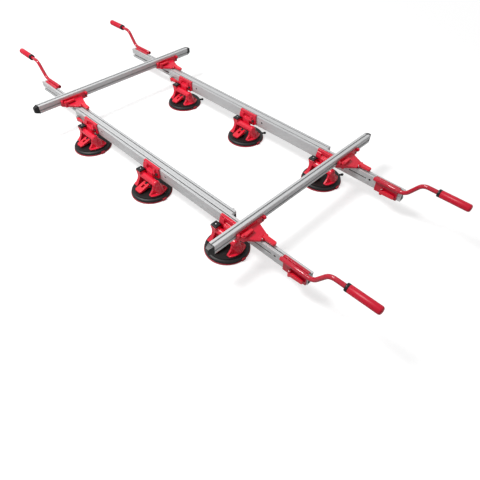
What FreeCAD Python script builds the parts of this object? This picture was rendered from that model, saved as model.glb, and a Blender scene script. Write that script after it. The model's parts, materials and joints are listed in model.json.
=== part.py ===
import FreeCAD, Part
import math
import os

V = FreeCAD.Vector
X, Y, Z = V(1, 0, 0), V(0, 1, 0), V(0, 0, 1)

# Rails: aluminium extrusions in two telescopic pairs
rail_length = 1550.0
rail_reach = 980.0           # from the middle of the lifter to a rail's outer end
rail_width = 27.0
rail_height = 51.5
rail_base = 82.5             # height of the rail's underside
rail_spacing = 620.0         # between the two pairs' parting planes, which lie between front and back rail
rail_gap = 0.6               # between the two rails of a pair
rail_wall = 3.0
slot_lip = 3.5
side_mouth = 9.0             # side slot, in the parting face
side_room = 17.0
side_depth = 6.5
side_height = 18.0           # from the rail's underside to the middle of the side slot
top_mouth = 4.6              # top slot
top_room = 16.0
top_depth = 7.0
edge_groove_inset = 3.6      # grooves along the outer edges, top and bottom
edge_groove_width = 2.6
edge_groove_depth = 1.6
face_groove_height = 25.0    # line along the outer face
face_groove_width = 2.4
face_groove_depth = 0.9
index_hole_radius = 5.0
index_hole_height = 29.0     # from the rail's underside
index_hole_shift = 88.0      # from a cup's middle
stop_slot_inset = 264.0      # from the rail's outer end
stop_slot_length = 90.0
stop_slot_radius = 2.0
stop_hole_gap = 18.0

# Crossbars
near_bar_inset = 310.0       # from the front rails' outer end to the near crossbar's axis
far_bar_inset = 328.0        # from the back rails' outer end to the far crossbar's axis
bar_length = 974.0
bar_width = 31.0
bar_height = 41.0
bar_lift = 11.0              # from the rail's top to the crossbar's underside
bar_wall = 2.8
bar_round = 4.0
bar_groove_width = 7.0
bar_groove_depth = 3.6
bar_groove_height = 17.0     # side grooves, above the crossbar's underside
bar_web_height = 24.0        # inner web, above the crossbar's underside
near_bar_slide = -17.0       # how far the near crossbar is pushed through its saddles
plug_length = 24.0
plug_rim = 3.0
plug_step = 1.0              # from the crossbar's outside to the plug's
plug_taper = 8.0             # from the crossbar's outside to the plug's tip
plug_spigot = 14.0

# Saddles
saddle_lift = 4.4            # from the rail's top to the saddle's underside
cradle_length = 151.0
cradle_shift = -2.0          # from the rail's middle to the cradle's middle
cradle_wall = 5.0
cradle_depth = 27.0          # how far the walls stand up beside the crossbar
apron_reach = 63.0           # from the cradle's wall outwards
apron_rise = 18.0            # at the cradle's wall, above the saddle's underside
apron_edge = 7.0             # at the outer edge, above the saddle's underside
apron_left = 76.0            # half widths at the cradle's wall
apron_right = 42.0
apron_left_end = 20.0        # half widths at the outer edge
apron_right_end = 24.0
foot_width = 9.0
nut_length = 36.0
lug_radius = 8.0
lug_length = 10.0

# Swing levers: length from the pivot, width along the pivot, thickness at the tip, hub radius
bar_lever = (50.0, 9.0, 11.0, 8.5)
rail_lever = (54.0, 19.0, 9.0, 6.5)
handle_lever = (62.0, 18.0, 7.0, 6.5)
lock_lever = (48.0, 17.0, 7.0, 6.5)
lever_tip_share = 0.35       # tip rounding, as a share of the lever's width
pin_radius = 3.0
pin_clear = 0.05
lever_side_clear = 0.3
lever_back_clear = 1.2       # from a lever's hub to what carries it
ear_width = 5.0
bar_lever_back = 58.0        # from the rail's middle back to the bar lever's pivot
bar_lever_out = 16.0         # from the cradle's wall to the bar lever's pivot
rail_lever_in = 1.0          # from the apron's edge back to the rail lever's pivot
rail_lever_shift = 8.0       # from the rail's middle
lock_inset = 32.0            # from a rail's inner end to its lock bolt
lock_bolt_radius = 3.5
lock_bolt_clear = 0.5
key_length = 34.0

# Handles
shell_length = 116.0
shell_inset = 15.0           # from the rail's end to the shell's outer end
shell_plate = 4.0
shell_cover = 17.0           # how far the shell reaches over the rail's top
handle_lever_inset = 47.0    # from the shell's inner end to the lever's pivot
handle_lever_height = 12.0   # above the rail's underside
tube_radius = 9.0
tube_wall = 2.0
tube_rise = 81.0             # from the clamp to the grip
bend_radius = 46.0
bend_angle = 55.0
bend_start = 5.0             # beyond the shell
grip_end = 280.0             # beyond the shell
grip_length = 121.0
grip_radius = 15.5
grip_nose = 9.0              # rounding of the grip's end
collar_length = 11.0
collar_radius = 15.8
handle_out = {"near_left": 10.0, "near_right": -2.0, "far_left": -8.0, "far_right": -8.0}

# Vacuum cups
near_cup_inset = 383.0       # from the front rail's outer end to the near cup's middle
far_cup_inset = 157.0        # from the front rail's inner end to the far cup's middle
cup_offset = 26.0            # from the rail's outer face to the cup's middle
pad_radius = 92.5
pad_height = 14.0
pad_shoulder = 5.0
pad_draft = 1.0
lip_height = 5.0
lip_width = 20.0
lip_overhang = 2.5
tab_width = 20.0
tab_height = 13.0
tab_depth = 5.5
stub_angle = 57.0
stub_radius = 5.0
stub_length = 14.0
stub_ball = 6.5
pad_crown = 84.0             # radius of the rubber's top
plate_radius = 82.5
plate_height = 4.0
post_outer = 75.0            # from the cup's middle to the post's outer side at the foot
post_lean = 1.0              # of the post's head towards the cup's middle
post_foot = 27.0
post_waist = 17.0
post_waist_depth = 38.0
post_head = 34.0
post_depth = 84.0            # front to back at the foot
cap_size = 32.0
cap_height = 8.0
cap_chamfer = 2.0
post_top = 92.0              # height of the post's head
hand_bar_height = 71.0
hand_bar_radius = 15.5
hand_bar_shift = 4.0         # towards the front
leg_face = 45.0              # from the cup's middle to the leg under the bar's end
knob_radius = 18.0           # round end of the handle bar
knob_length = 19.0
knob_round = 9.0
seam_width = 1.6             # groove between the bar and its round end
seam_depth = 1.4
bulge_middle = 57.0          # from the cup's middle to the rounded panel on the leg's outside
bulge_half_length = 17.5
bulge_half_width = 23.0
bulge_side = 7.0             # towards the back
bulge_lean = 9.0             # of the panel's top towards the bar
bulge_shares = ((0.0, 1.0, 1.0), (0.35, 0.98, 1.0), (0.7, 0.88, 0.92), (1.0, 0.6, 0.7))
fin_width = 9.0
fin_half = 46.0
fin_shoulder = 6.0
fin_waist = 23.0             # half width of the fin's front where it is drawn in
fin_waist_height = 24.0      # above the pad's back plate
flange_radius = 77.0
flange_height = 6.0
flip_middle = 10.0           # from the cup's middle to the flip lever's middle
flip_width = 40.0
flip_pivot_front = 12.5
flip_pivot_height = 40.0
flip_hub = 10.0
flip_reach = 57.0            # from the pivot to the tip
flip_drop = 17.0             # of the top face, from the hub's top to the tip
flip_tip = 7.0
flip_corner = 8.0
flip_slot_length = 17.0
flip_slot_width = 12.0
flip_slot_wall = 5.0         # between the slot and the eye's room
stud_radius = 9.0
eye_width = 13.0
flip_pin_radius = 4.5

# Cup brackets
bracket_left = 56.0
bracket_right = 52.0
bracket_plate = 6.5
bracket_corner = 12.0
bracket_lip = 3.2
bracket_lip_reach = 6.4
hook_depth = 1.2
ledge_right = 26.0
ledge_gap = 0.7              # from the post's cap to the ledge
ledge_height = 7.0
ledge_drop = 27.0            # from the rail's top to the ledge's top
block_left = 24.0
block_right = 18.0
block_depth = 14.0
recess_length = 42.0
recess_shift = 9.0           # from the cup's middle
recess_lift = 3.0            # above the ledge
recess_height = 10.0
recess_depth = 3.0
bracket_bolt_radius = 6.5
bracket_bolt_head = 7.0
bracket_bolt_place = 36.0    # from the cup's middle

# Fits
slide_clear = 0.3            # sliding pieces beside the rails
groove_clear = 0.35          # keys, nuts and hooks in their grooves
cradle_clear = 0.4           # crossbar in its cradle
press_clear = 0.05

rail_top = rail_base + rail_height
rail_inner = rail_reach - rail_length
mate = -rail_gap / 2
outer = mate - rail_width
rail_middle = outer + rail_width / 2
side_middle = rail_base + side_height
bar_base = rail_top + bar_lift
saddle_base = rail_top + saddle_lift
cradle_half = bar_width / 2 + cradle_clear
wall_face = cradle_half + cradle_wall
shell_end = rail_reach - shell_inset
shell_start = shell_end - shell_length
tube_height = rail_top + slide_clear + shell_plate
tube_side = outer - slide_clear - tube_radius
cup_side = outer - cup_offset
near_cup = rail_reach - near_cup_inset
far_cup = rail_inner + far_cup_inset
cup_columns = {"far": far_cup, "middle": (far_cup + near_cup) / 2, "near": near_cup}
near_bar = rail_reach - near_bar_inset
far_bar = far_bar_inset - rail_reach
pad_top = lip_height + pad_height
seat_height = pad_top + plate_height
near_out = max(handle_out["near_left"], handle_out["near_right"])
far_out = max(handle_out["far_left"], handle_out["far_right"])
frame_shift = ((far_out - near_out) / 2, -near_bar_slide / 2)   # brings the lifter's middle to the origin


def block(x, y, z):
    return Part.makeBox(x[1] - x[0], y[1] - y[0], z[1] - z[0], V(x[0], y[0], z[0]))


def around(middle, size):
    return middle - size / 2, middle + size / 2


def rod(radius, start, end):
    return Part.makeCylinder(radius, (end - start).Length, start, end - start)


def rod_x(radius, x, y, z):
    return rod(radius, V(x[0], y, z), V(x[1], y, z))


def rod_y(radius, x, y, z):
    return rod(radius, V(x, y[0], z), V(x, y[1], z))


def edges_in_plane(shape, normal, place, along):
    """Straight edges of the shape in one plane, along one direction."""
    return [e for e in shape.Edges if abs(e.tangentAt(e.FirstParameter).dot(along)) > 0.9
            and all(abs(v.Point.dot(normal) - place) < 1e-6 for v in e.Vertexes)]


def prism(points, depth):
    return Part.Face(Part.makePolygon(points + points[:1])).extrude(depth)


def rectangle(x, y, height):
    corners = [V(x[0], y[0], height), V(x[1], y[0], height), V(x[1], y[1], height), V(x[0], y[1], height)]
    return Part.makePolygon(corners + corners[:1])


def oval(centre, half_length, half_width):
    ellipse = Part.Ellipse(centre + Y * half_width, centre - X * half_length, centre)
    return Part.Wire(ellipse.toShape())


def join(first, *others):
    return first.fuse(list(others)).removeSplitter()


def moved(shape, x=0.0, y=0.0, z=0.0):
    copy = shape.copy()
    copy.translate(V(x, y, z))
    return copy


def turned(shape, axis, angle):
    copy = shape.copy()
    copy.rotate(V(0, 0, 0), axis, angle)
    return copy


def group(*shapes):
    return Part.makeCompound(list(shapes))


def swing_lever(size):
    """A lever that turns about Z at the origin and points along +X."""
    length, width, thickness, hub = size
    low, high = around(0, width)
    half_tip = thickness / 2
    outline = [V(0, -hub, low), V(length, -half_tip, low), V(length, half_tip, low), V(0, hub, low)]
    arm = prism(outline, Z * width)
    arm = arm.makeFillet(lever_tip_share * width, edges_in_plane(arm, X, length, Y))
    lever = join(arm, rod(hub, V(0, 0, low), V(0, 0, high)))
    return lever.cut(rod(pin_radius + pin_clear, V(0, 0, low - 1), V(0, 0, high + 1)))


def clevis(size, stand):
    """Two ears and a pin that carry a swing lever. What they stand on lies towards +Y."""
    width, hub = size[1], size[3]
    inside = width / 2 + lever_side_clear
    outside = inside + ear_width
    pieces = [rod(pin_radius, V(0, 0, -outside), V(0, 0, outside))]
    for low, high in ((-outside, -inside), (inside, outside)):
        pieces.append(rod(hub, V(0, 0, low), V(0, 0, high)))
        pieces.append(block((-hub, hub), (0, stand), (low, high)))
    return join(*pieces)


def rail():
    """Front rail of a pair, with its parting face towards +Y."""
    ends = (rail_inner - 1, rail_reach + 1)
    body = block((rail_inner, rail_reach), (outer, mate), (rail_base, rail_top))
    side_floor = mate - slot_lip - side_depth
    top_floor = rail_top - slot_lip - top_depth
    groove = (outer + edge_groove_inset, outer + edge_groove_inset + edge_groove_width)
    cuts = [
        block(ends, (mate - slot_lip, mate + 1), around(side_middle, side_mouth)),
        block(ends, (side_floor, mate - slot_lip), around(side_middle, side_room)),
        block(ends, around(rail_middle, top_mouth), (rail_top - slot_lip, rail_top + 1)),
        block(ends, around(rail_middle, top_room), (top_floor, rail_top - slot_lip)),
        block(ends, (outer + rail_wall, side_floor - rail_wall),
              (rail_base + rail_wall, top_floor - rail_wall)),
        block(ends, groove, (rail_top - edge_groove_depth, rail_top + 1)),
        block(ends, groove, (rail_base - 1, rail_base + edge_groove_depth)),
        block(ends, (outer - 1, outer + face_groove_depth),
              around(rail_base + face_groove_height, face_groove_width)),
    ]
    hole_height = rail_base + index_hole_height
    hole_wall = (outer - 1, outer + rail_wall + 1)
    for column in cup_columns.values():
        cuts.append(rod_y(index_hole_radius, column + index_hole_shift, hole_wall, hole_height))
    stop_start = rail_reach - stop_slot_inset
    stop_end = stop_start + stop_slot_length
    cuts.append(block((stop_start, stop_end), hole_wall, around(hole_height, 2 * stop_slot_radius)))
    cuts.append(rod_y(index_hole_radius, stop_end + stop_hole_gap, hole_wall, hole_height))
    bolt_room = lock_bolt_radius + lock_bolt_clear
    cuts.append(rod_y(bolt_room, rail_inner + lock_inset, (outer - 1, mate + 1), side_middle))
    return body.cut(cuts)


def lock_place():
    return rail_inner + lock_inset, outer - lever_back_clear - lock_lever[3] - ear_width


def lock_bolt():
    """Bolt through the front rail's inner end, with its key in the back rail's side slot."""
    x, pivot = lock_place()
    key_near = rail_gap / 2 + slot_lip + groove_clear
    key_far = rail_gap / 2 + slot_lip + side_depth - groove_clear
    key = block(around(x, key_length), (key_near, key_far), around(side_middle, side_room - 2 * groove_clear))
    shank = rod_y(lock_bolt_radius, x, (outer - ear_width, key_near), side_middle)
    half_head = lock_lever[3]
    head_height = lock_lever[1] + 2 * (lever_side_clear + ear_width)
    head = block((x - half_head, x + half_head), (outer - ear_width, outer), around(side_middle, head_height))
    ears = clevis(lock_lever, lever_back_clear + half_head)
    return join(key, shank, head, moved(ears, x, pivot, side_middle))


def crossbar():
    """Crossbar along Y, at x = 0."""
    length = around(0, bar_length)
    through = (length[0] - 1, length[1] + 1)
    body = block(around(0, bar_width), length, (bar_base, bar_base + bar_height))
    body = body.makeFillet(bar_round, [e for e in body.Edges if abs(e.tangentAt(0).y) > 0.9])
    half = bar_width / 2
    top = bar_base + bar_height
    web_low = bar_base + bar_web_height
    groove = around(bar_base + bar_groove_height, bar_groove_width)
    narrow = half - bar_groove_depth - bar_wall
    wide = half - bar_wall
    return body.cut([
        block(around(0, bar_groove_width), through, (top - bar_groove_depth, top + 1)),
        block((-half - 1, -half + bar_groove_depth), through, groove),
        block((half - bar_groove_depth, half + 1), through, groove),
        block((-narrow, narrow), through, (bar_base + bar_wall, web_low)),
        block((-wide, wide), through, (web_low + bar_wall, top - bar_groove_depth - bar_wall)),
    ])


def bar_plug():
    """Tapered plug for the +Y end of the crossbar."""
    end = bar_length / 2
    half = bar_width / 2
    top = bar_base + bar_height

    def face(inset, y):
        low, high = bar_base + inset, top - inset
        across = half - inset
        corners = [V(-across, y, low), V(across, y, low), V(across, y, high), V(-across, y, high)]
        return Part.makePolygon(corners + corners[:1])

    faces = [face(plug_step, end), face(plug_step, end + plug_rim), face(plug_taper, end + plug_length)]
    nose = Part.makeLoft(faces, True, True)
    room = half - bar_wall - press_clear
    web_top = bar_base + bar_web_height + bar_wall
    spigot = block((-room, room), (end - plug_spigot, end),
                   (web_top + press_clear, top - bar_groove_depth - bar_wall - press_clear))
    return join(nose, spigot)


def rail_lever_place():
    x = wall_face + apron_reach - rail_lever_in
    return x, rail_lever_shift, saddle_base + rail_lever[3]


def bar_lever_place():
    x = wall_face + bar_lever_out
    return x, -bar_lever_back, saddle_base + apron_rise + lever_back_clear + bar_lever[1] / 2


def saddle():
    """Saddle under a crossbar along Y at x = 0, on a rail whose middle is y = 0."""
    left, right = around(cradle_shift, cradle_length)
    wall_top = bar_base + cradle_depth
    trough = block((-wall_face, wall_face), (left, right), (saddle_base, wall_top))
    room = block((-cradle_half, cradle_half), (left - 1, right + 1), (bar_base - cradle_clear, wall_top + 1))
    trough = trough.cut(room)
    edge = wall_face + apron_reach
    edge_top = saddle_base + apron_edge
    apron_height = saddle_base + apron_rise
    side = [V(cradle_half, left, saddle_base), V(edge, left, saddle_base), V(edge, left, edge_top),
            V(wall_face, left, apron_height), V(cradle_half, left, apron_height)]
    plan = [V(cradle_half, -apron_left, saddle_base), V(wall_face, -apron_left, saddle_base),
            V(edge, -apron_left_end, saddle_base), V(edge, apron_right_end, saddle_base),
            V(wall_face, apron_right, saddle_base), V(cradle_half, apron_right, saddle_base)]
    apron = prism(side, Y * cradle_length).common(prism(plan, Z * apron_rise))
    x, y, z = rail_lever_place()
    notch_start = x - rail_lever[3] - lever_back_clear
    notch = around(y, rail_lever[1] + 2 * lever_side_clear)
    pieces = [apron.cut(block((notch_start, edge + 1), notch, (saddle_base - 1, apron_height)))]
    lug_x = wall_face + lug_radius / 2
    lug_z = wall_top - lug_radius
    for start, way in ((left, 1), (right, -1)):
        pieces.append(rod_y(lug_radius, lug_x, (start, start + way * lug_length), lug_z))
    ears = turned(clevis(rail_lever, z - saddle_base), X, -90)
    pieces.append(moved(ears, x, y, z))
    x, y, z = bar_lever_place()
    lever_top = z + bar_lever[1] / 2
    pieces.append(rod(pin_radius, V(x, y, saddle_base), V(x, y, lever_top + lever_back_clear)))
    pieces.append(rod(bar_lever[3], V(x, y, saddle_base), V(x, y, z - bar_lever[1] / 2 - lever_side_clear)))
    head = lever_top + lever_side_clear
    pieces.append(rod(2 * pin_radius, V(x, y, head), V(x, y, head + pin_radius)))
    return join(trough, *pieces)


def rail_nut():
    """Foot between the rail and the saddle, on a T nut in the rail's top slot."""
    length = (cradle_half, cradle_half + nut_length)
    head_top = rail_top - slot_lip - groove_clear
    neck = block(length, around(0, top_mouth - 2 * groove_clear), (head_top, rail_top))
    head_low = rail_top - slot_lip - top_depth + groove_clear
    head = block(length, around(0, top_room - 2 * groove_clear), (head_low, head_top))
    foot_length = (-cradle_half, rail_lever_place()[0] - rail_lever[3] - lever_back_clear)
    return join(block(foot_length, around(0, foot_width), (rail_top, saddle_base)), neck, head)


def handle_path():
    """Middle line of the handle's tube: along the rail, up through two bends and out to the grip."""
    angle = math.radians(bend_angle)
    straight = (tube_rise - 2 * bend_radius * (1 - math.cos(angle))) / math.sin(angle)

    def at(x, z):
        return V(x, tube_side, z)

    start = at(shell_start, tube_height)
    low = at(shell_end + bend_start, tube_height)
    centre = low + Z * bend_radius
    low_mid = centre + V(math.sin(angle / 2), 0, -math.cos(angle / 2)) * bend_radius
    low_end = centre + V(math.sin(angle), 0, -math.cos(angle)) * bend_radius
    high_start = low_end + V(math.cos(angle), 0, math.sin(angle)) * straight
    high = at(high_start.x + bend_radius * math.sin(angle), tube_height + tube_rise)
    centre = high - Z * bend_radius
    high_mid = centre + V(-math.sin(angle / 2), 0, math.cos(angle / 2)) * bend_radius
    end = at(shell_end + grip_end - grip_radius, tube_height + tube_rise)
    return Part.Wire([
        Part.LineSegment(start, low).toShape(), Part.Arc(low, low_mid, low_end).toShape(),
        Part.LineSegment(low_end, high_start).toShape(), Part.Arc(high_start, high_mid, high).toShape(),
        Part.LineSegment(high, end).toShape(),
    ])


def tube_along(path, radius):
    start = path.Vertexes[0].Point
    circle = Part.Wire(Part.makeCircle(radius, start, X))
    return path.makePipeShell([circle], True, True)


def handle():
    """Bent tube and clamp shell on the outer end of the front rail."""
    path = handle_path()
    over = outer + shell_cover
    top = (rail_top + slide_clear, rail_top + slide_clear + shell_plate)
    front = (outer - slide_clear - shell_plate, outer - slide_clear)
    under = (rail_base - slide_clear - shell_plate, rail_base - slide_clear)
    long = (shell_start, shell_end)
    groove_middle = outer + edge_groove_inset + edge_groove_width / 2
    hook = around(groove_middle, edge_groove_width - 2 * groove_clear)
    body = join(
        tube_along(path, tube_radius),
        block(long, (tube_side, over), top),
        block(long, front, (under[0], tube_height)),
        block(long, (front[0], over), under),
        block(long, hook, (top[0] - slide_clear - hook_depth, top[0])),
        block(long, hook, (under[1], under[1] + slide_clear + hook_depth)),
        moved(clevis(handle_lever, handle_lever[3] + lever_back_clear), *handle_lever_place()),
    )
    return body.cut(tube_along(path, tube_radius - tube_wall))


def grip():
    """Rounded grip on the end of the tube, and the collar in front of it."""
    end = shell_end + grip_end
    start = end - grip_length
    height = tube_height + tube_rise
    bore = tube_radius + press_clear
    depth = end - grip_radius

    def at(x, radius):
        return V(x, tube_side, height + radius)

    nose = end - grip_nose
    flat = grip_radius - grip_nose
    arc_mid = at(nose + grip_nose * math.sin(math.pi / 4), flat + grip_nose * math.cos(math.pi / 4))
    outline = Part.Wire([
        Part.LineSegment(at(start, bore), at(start, grip_radius)).toShape(),
        Part.LineSegment(at(start, grip_radius), at(nose, grip_radius)).toShape(),
        Part.Arc(at(nose, grip_radius), arc_mid, at(end, flat)).toShape(),
        Part.LineSegment(at(end, flat), at(end, 0)).toShape(),
        Part.LineSegment(at(end, 0), at(depth + press_clear, 0)).toShape(),
        Part.LineSegment(at(depth + press_clear, 0), at(depth + press_clear, bore)).toShape(),
        Part.LineSegment(at(depth + press_clear, bore), at(start, bore)).toShape(),
    ])
    body = Part.Face(outline).revolve(at(start, 0), X, 360)
    collar = rod(collar_radius, at(start - collar_length, 0), at(start, 0))
    collar = collar.cut(rod(bore, at(start - collar_length - 1, 0), at(start + 1, 0)))
    return group(body, collar)


def handle_lever_place():
    front = outer - slide_clear - shell_plate
    return (shell_start + handle_lever_inset, front - lever_back_clear - handle_lever[3],
            rail_base + handle_lever_height)


def flip_pivot():
    return V(-flip_middle, -flip_pivot_front, flip_pivot_height)


def cup_pad():
    """Rubber pad, red lip ring with its tab, and the back plate with the lever's stud and pin."""
    ring_radius = pad_radius + lip_overhang
    ring = Part.makeCylinder(ring_radius, lip_height)
    ring = ring.cut(Part.makeCylinder(pad_radius - lip_width, lip_height))
    tab = block((pad_radius + slide_clear, pad_radius + tab_depth), around(0, tab_width), (0, tab_height))
    ring = join(ring, tab)
    profile = [V(0, 0, lip_height), V(pad_radius, 0, lip_height),
               V(pad_radius - pad_draft, 0, lip_height + pad_shoulder), V(pad_crown, 0, pad_top),
               V(0, 0, pad_top)]
    rubber = Part.Face(Part.makePolygon(profile + profile[:1])).revolve(V(0, 0, 0), Z, 360)
    angle = math.radians(stub_angle)
    way = V(math.cos(angle), math.sin(angle), 0)
    stub_height = lip_height + stub_ball
    stub_end = way * (pad_radius + stub_length) + Z * stub_height
    stub = rod(stub_radius, way * (pad_radius - 2 * stub_radius) + Z * stub_height, stub_end)
    rubber = join(rubber, stub, Part.makeSphere(stub_ball, stub_end))
    pivot = flip_pivot()
    eye_x = around(pivot.x, eye_width)
    stud = rod(stud_radius, V(pivot.x, pivot.y, pad_top), V(pivot.x, pivot.y, pivot.z - stud_radius / 2))
    eye = rod(stud_radius, V(eye_x[0], pivot.y, pivot.z), V(eye_x[1], pivot.y, pivot.z))
    neck = block(eye_x, around(pivot.y, 2 * stud_radius), (seat_height, pivot.z))
    pin = rod(flip_pin_radius, pivot - X * flip_width / 2, pivot + X * flip_width / 2)
    stud = stud.common(block(eye_x, around(pivot.y, 2 * stud_radius), (pad_top, pivot.z)))
    plate = join(Part.makeCylinder(plate_radius, plate_height, V(0, 0, pad_top)), stud, eye, neck, pin)
    return group(rubber, ring, plate)


def cup_frame():
    """Cast frame on the pad: post, handle bar and leg, with a cap on the post."""
    bar_y = -hand_bar_shift
    foot = (-post_outer, -post_outer + post_foot)
    head_middle = post_lean - post_outer + post_head / 2
    waist_height = (seat_height + post_top) / 2
    post = Part.makeLoft([
        rectangle(foot, around(bar_y, post_depth), seat_height),
        rectangle(around(head_middle, post_waist), around(bar_y, post_waist_depth), waist_height),
        rectangle(around(head_middle, post_head), around(bar_y, post_head), post_top),
    ], True, False)
    bar = rod_x(hand_bar_radius, (head_middle, leg_face + fin_width), bar_y, hand_bar_height)
    knob_end = leg_face + knob_length
    knob = rod_x(knob_radius, (leg_face, knob_end), bar_y, hand_bar_height)
    rim = [e for e in knob.Edges if e.Closed and e.CenterOfMass.x > knob_end - 1]
    knob = knob.makeFillet(knob_round, rim)
    rise = hand_bar_height - seat_height
    sections = []
    for up, long_share, wide_share in bulge_shares:
        side = bulge_side + (bar_y - bulge_side) * up
        centre = V(bulge_middle - bulge_lean * up, side, seat_height + rise * up)
        sections.append(oval(centre, bulge_half_length * long_share, bulge_half_width * wide_share))
    bulge = Part.makeLoft(sections, True, False)
    outside = block((leg_face, flange_radius), around(0, 2 * flange_radius), (seat_height, hand_bar_height))
    bulge = bulge.common(outside)
    shoulder = seat_height + fin_shoulder
    waist = seat_height + fin_waist_height
    profile = [(-fin_half, seat_height), (-fin_half, shoulder), (bar_y - fin_waist, waist),
               (bar_y - hand_bar_radius, hand_bar_height), (bar_y + hand_bar_radius, hand_bar_height),
               (fin_half, shoulder), (fin_half, seat_height)]
    fin = prism([V(leg_face, y, z) for y, z in profile], X * fin_width)
    flange = Part.makeCylinder(flange_radius, flange_height, V(0, 0, seat_height))
    flange = flange.common(block((leg_face, flange_radius), (-fin_half, fin_half), (seat_height, waist)))
    seam_x = (leg_face - seam_width, leg_face)
    seam = rod_x(hand_bar_radius + 1, seam_x, bar_y, hand_bar_height)
    seam = seam.cut(rod_x(hand_bar_radius - seam_depth, seam_x, bar_y, hand_bar_height))
    cap_x = around(head_middle, cap_size)
    cap_top = post_top + cap_height
    cap = block(cap_x, around(bar_y, cap_size), (post_top, cap_top))
    cap_edges = edges_in_plane(cap, Z, cap_top, X) + edges_in_plane(cap, Z, cap_top, Y)
    cap = cap.makeChamfer(cap_chamfer, cap_edges)
    return group(join(post, bar, knob, bulge, fin, flange).cut(seam), cap)


def cup_bracket():
    """Bracket on the rail's outer face, clamped on the cup's handle bar, with its bolt."""
    face = cup_offset - slide_clear
    front = face - bracket_plate
    top = (rail_top + slide_clear, rail_top + slide_clear + bracket_lip)
    under = (rail_base - slide_clear - bracket_lip, rail_base - slide_clear)
    span = (-bracket_left, bracket_right)
    under_span = (span[0] + bracket_corner, span[1] - bracket_corner)
    corner = under[0] + bracket_corner
    outline = [V(span[0], front, top[1]), V(span[1], front, top[1]), V(span[1], front, corner),
               V(under_span[1], front, under[0]), V(under_span[0], front, under[0]),
               V(span[0], front, corner)]
    plate = prism(outline, Y * bracket_plate)
    lip = (front, cup_offset + bracket_lip_reach)
    groove_middle = cup_offset + edge_groove_inset + edge_groove_width / 2
    hook = around(groove_middle, edge_groove_width - 2 * groove_clear)
    ledge_top = rail_top - ledge_drop
    ledge_low = ledge_top - ledge_height
    ledge_front = cap_size / 2 - hand_bar_shift + ledge_gap
    ledge = block((-bracket_left, ledge_right), (ledge_front, front), (ledge_low, ledge_top))
    clamp = block((-block_left, block_right), (front - block_depth, front), (hand_bar_height, ledge_top))
    bar_y = -hand_bar_shift
    seat_span = (-bracket_left - 1, bracket_right + 1)
    seat = rod_x(hand_bar_radius + press_clear, seat_span, bar_y, hand_bar_height)
    body = join(plate, block(span, lip, top), block(under_span, lip, under),
                block(span, hook, (top[0] - slide_clear - hook_depth, top[0])),
                block(under_span, hook, (under[1], under[1] + slide_clear + hook_depth)), ledge, clamp)
    recess_low = ledge_top + recess_lift
    recess = block(around(-recess_shift, recess_length), (front - 1, front + recess_depth),
                   (recess_low, recess_low + recess_height))
    bolt_z = (ledge_low + ledge_top) / 2
    shank_radius = bracket_bolt_radius / 2
    shank = rod_y(shank_radius, bracket_bolt_place, (front, face), bolt_z)
    hole = rod_y(shank_radius + press_clear, bracket_bolt_place, (front - 1, face + 1), bolt_z)
    head = V(bracket_bolt_place, front - bracket_bolt_head, bolt_z)
    turns = [k * math.pi / 3 for k in range(6)]
    corners = [head + V(math.cos(turn), 0, math.sin(turn)) * bracket_bolt_radius for turn in turns]
    bolt = join(prism(corners, Y * bracket_bolt_head), shank)
    return group(body.cut([seat, recess, hole]), bolt)


def flip_lever():
    """Lever over the pad that turns about X on the stud's pin and points to the front."""
    pivot = flip_pivot()
    side = around(pivot.x, flip_width)
    tip = pivot.y - flip_reach
    top = pivot.z + flip_hub
    tip_top = top - flip_drop
    outline = [V(side[0], pivot.y, top), V(side[0], tip, tip_top), V(side[0], tip, tip_top - flip_tip),
               V(side[0], pivot.y, pivot.z - flip_hub / 2)]
    arm = prism(outline, X * flip_width)
    arm = arm.makeFillet(flip_corner, edges_in_plane(arm, Y, tip, Z))
    hub = rod(flip_hub, V(side[0], pivot.y, pivot.z), V(side[1], pivot.y, pivot.z))
    eye_room = 2 * (stud_radius + lever_back_clear)
    slot_end = pivot.y - eye_room / 2 - flip_slot_wall
    through = (seat_height, top + 1)
    return join(arm, hub).cut([
        rod(flip_pin_radius + pin_clear, pivot - X * flip_width, pivot + X * flip_width),
        block(around(pivot.x, eye_width + 2 * lever_side_clear), around(pivot.y, eye_room), through),
        block(around(pivot.x, flip_slot_width), (slot_end - flip_slot_length, slot_end), through),
    ])


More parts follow.
